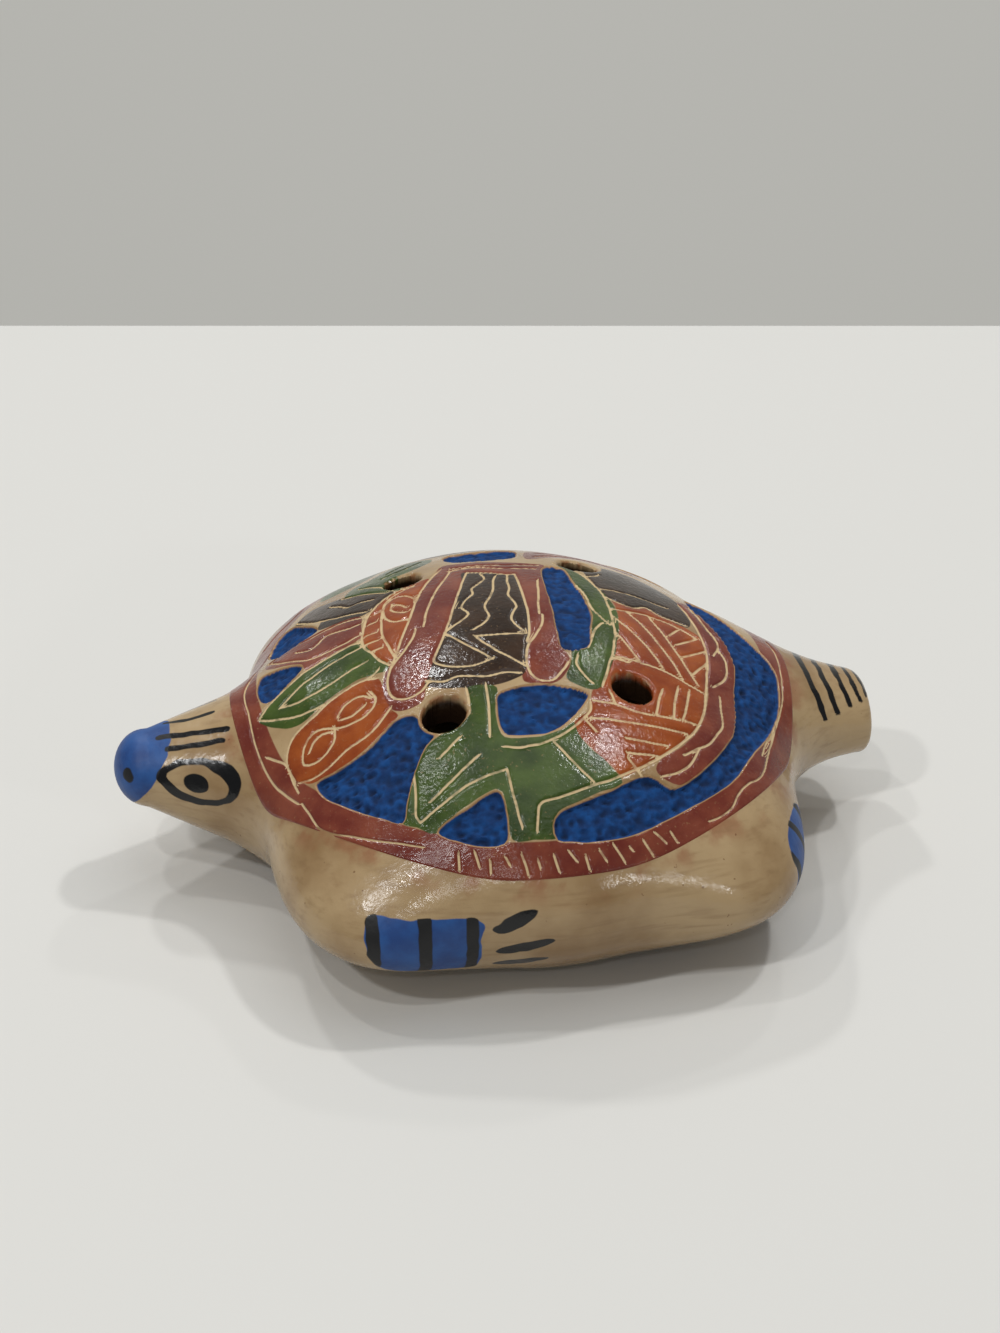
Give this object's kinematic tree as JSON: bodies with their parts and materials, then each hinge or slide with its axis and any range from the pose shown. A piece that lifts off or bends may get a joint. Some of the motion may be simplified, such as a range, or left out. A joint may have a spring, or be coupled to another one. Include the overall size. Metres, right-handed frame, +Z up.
{
  "type": "ocarina",
  "caption": "Hand-built clay turtle vessel flute with painted, incised carapace, finger holes in the dome and a tail mouthpiece.",
  "frame": {"origin": "centre of the overall footprint, on the plane of the flat belly", "axes": "+X from the head towards the tail mouthpiece, +Z up through the dome, +Y to the turtle's right"},
  "size_m": [0.112, 0.092, 0.0375],
  "materials": {
    "painted_slip": "burnished and waxed coloured slip over fired clay, with incised lines and carved grounds",
    "cream_clay": "burnished and waxed cream slip over fired clay",
    "raw_clay": "unpainted fired clay"
  },
  "bodies": {
    "root": {"upper_shell": "painted_slip", "lower_shell": "cream_clay", "seam_coil": "raw_clay", "head": "cream_clay", "tail_mouthpiece": "cream_clay", "leg_front_left": "cream_clay", "leg_front_right": "cream_clay", "leg_rear_left": "cream_clay", "leg_rear_right": "cream_clay"}
  },
  "joints": []
}
